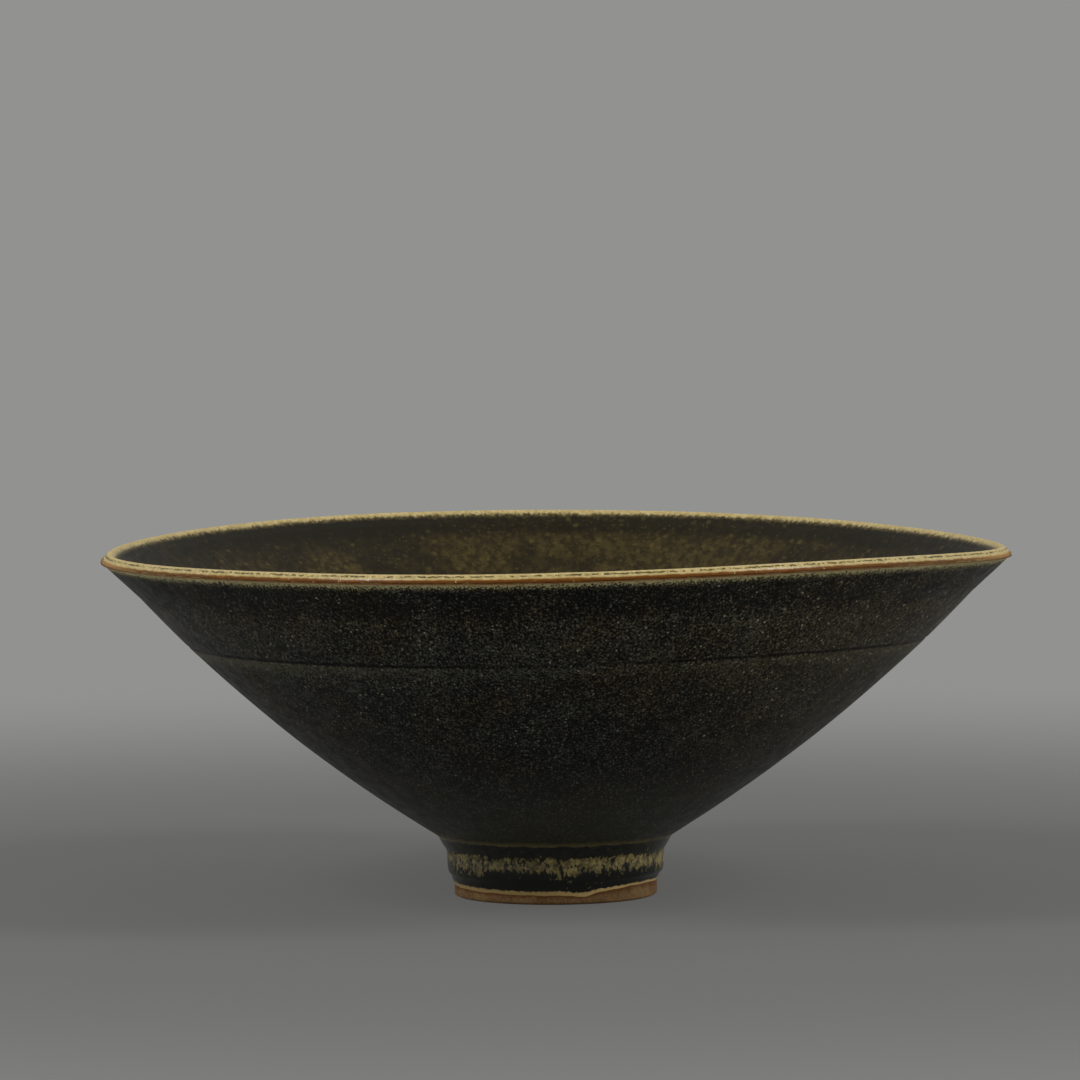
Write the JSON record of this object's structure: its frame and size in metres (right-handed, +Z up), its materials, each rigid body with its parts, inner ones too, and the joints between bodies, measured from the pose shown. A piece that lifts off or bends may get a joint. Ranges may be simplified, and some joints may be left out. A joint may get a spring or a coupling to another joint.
{
  "type": "conical tea bowl",
  "caption": "Wheel-thrown conical stoneware tea bowl with dark speckled iron glaze, a cream lip with a rust line, and a small turned foot with a bare base.",
  "frame": {"origin": "centre of the foot's bearing ring, on the surface the bowl stands on", "axes": "+Z up along the turning axis, -Y towards the side seen in the picture, +X to its right"},
  "size_m": [0.1514, 0.151, 0.06],
  "materials": {
    "stoneware": "matt",
    "dark_glaze": "satin",
    "inner_glaze": "satin",
    "lip_glaze": "gloss",
    "foot_glaze": "satin"
  },
  "bodies": {
    "root": {"stoneware_body": "stoneware", "foot_glaze": "foot_glaze", "exterior_glaze": "dark_glaze", "rim_glaze": "lip_glaze", "interior_glaze": "inner_glaze"}
  },
  "joints": []
}
